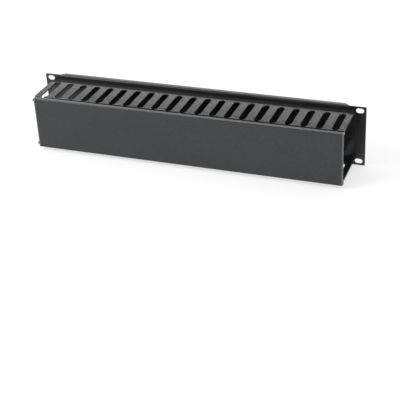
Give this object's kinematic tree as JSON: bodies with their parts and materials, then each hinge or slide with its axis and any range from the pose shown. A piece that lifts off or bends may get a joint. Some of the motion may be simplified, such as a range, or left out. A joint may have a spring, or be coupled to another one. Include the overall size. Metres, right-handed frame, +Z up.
{
  "type": "horizontal cable manager",
  "caption": "Horizontal rack cable manager: a folded mounting panel carries a slotted finger duct closed by a long snap cover.",
  "frame": {"origin": "centre of the four rack slots, on the rear face of the panel's ears", "axes": "X along the rack's width, +Y to the back of the rack, +Z up; the duct and its cover face -Y"},
  "size_m": [0.4826, 0.0825, 0.0882],
  "materials": {
    "panel_paint": "black fine textured powder coat",
    "duct_plastic": "black extruded rigid plastic, satin",
    "cover_plastic": "black extruded rigid plastic, satin",
    "fastener_zinc": "bright zinc plate"
  },
  "bodies": {
    "base": {"rack_panel": "panel_paint", "finger_duct": "duct_plastic", "duct_screw_1": "fastener_zinc", "duct_screw_2": "fastener_zinc", "duct_screw_3": "fastener_zinc", "duct_screw_4": "fastener_zinc", "duct_screw_5": "fastener_zinc", "duct_screw_6": "fastener_zinc", "duct_washer_1": "fastener_zinc", "duct_washer_2": "fastener_zinc", "duct_washer_3": "fastener_zinc", "duct_washer_4": "fastener_zinc", "duct_washer_5": "fastener_zinc", "duct_washer_6": "fastener_zinc", "duct_nut_1": "fastener_zinc", "duct_nut_2": "fastener_zinc", "duct_nut_3": "fastener_zinc", "duct_nut_4": "fastener_zinc", "duct_nut_5": "fastener_zinc", "duct_nut_6": "fastener_zinc"},
    "cover": {"cover": "cover_plastic"}
  },
  "joints": [
    {"name": "cover_slide", "type": "slide", "parent": "base", "child": "cover", "axis": [1, 0, 0], "range_m": [-0.46, 0.46]}
  ]
}
